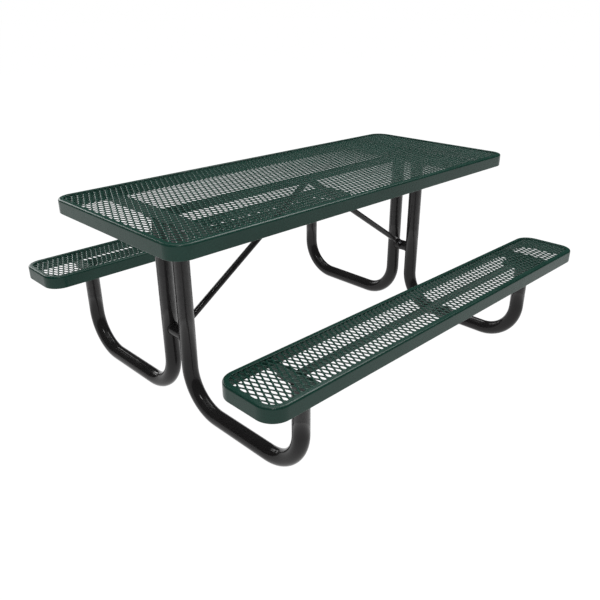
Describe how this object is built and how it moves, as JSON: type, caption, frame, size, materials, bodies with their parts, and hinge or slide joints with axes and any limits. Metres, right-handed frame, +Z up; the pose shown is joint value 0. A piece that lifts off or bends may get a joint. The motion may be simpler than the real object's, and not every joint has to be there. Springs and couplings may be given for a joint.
{
  "type": "picnic table",
  "caption": "Free-standing metal picnic table: expanded-metal top and two attached bench seats with rounded corners on bent-tube legs with diagonal braces.",
  "frame": {"origin": "on the floor, under the centre of the table top", "axes": "+X along the table's length, +Y across it towards one seat, +Z up"},
  "size_m": [1.829, 1.555, 0.7999],
  "materials": {
    "green_coating": "thick dark green thermoplastic coating, semi-gloss",
    "black_powder_coat": "gloss black powder coat",
    "zinc_fasteners": "zinc plated"
  },
  "bodies": {
    "root": {"brace_bolts": "zinc_fasteners", "brace_left": "black_powder_coat", "brace_nuts": "zinc_fasteners", "brace_right": "black_powder_coat", "brace_washers": "zinc_fasteners", "leg_left_far": "black_powder_coat", "leg_left_near": "black_powder_coat", "leg_right_far": "black_powder_coat", "leg_right_near": "black_powder_coat", "lug_left": "black_powder_coat", "lug_right": "black_powder_coat", "seat_bolts": "zinc_fasteners", "seat_far_centre_bar": "green_coating", "seat_far_cross_left": "green_coating", "seat_far_cross_right": "green_coating", "seat_far_mesh": "green_coating", "seat_far_pad_left": "green_coating", "seat_far_pad_right": "green_coating", "seat_far_rim": "green_coating", "seat_near_centre_bar": "green_coating", "seat_near_cross_left": "green_coating", "seat_near_cross_right": "green_coating", "seat_near_mesh": "green_coating", "seat_near_pad_left": "green_coating", "seat_near_pad_right": "green_coating", "seat_near_rim": "green_coating", "seat_nuts": "zinc_fasteners", "seat_plate_left_far": "black_powder_coat", "seat_plate_left_near": "black_powder_coat", "seat_plate_right_far": "black_powder_coat", "seat_plate_right_near": "black_powder_coat", "seat_washers": "zinc_fasteners", "tie_left": "black_powder_coat", "tie_right": "black_powder_coat", "top_angle_left": "green_coating", "top_angle_right": "green_coating", "top_bolts": "zinc_fasteners", "top_centre_bar": "green_coating", "top_mesh": "green_coating", "top_nuts": "zinc_fasteners", "top_plate_left": "black_powder_coat", "top_plate_right": "black_powder_coat", "top_rim": "green_coating", "top_washers": "zinc_fasteners"}
  },
  "joints": []
}
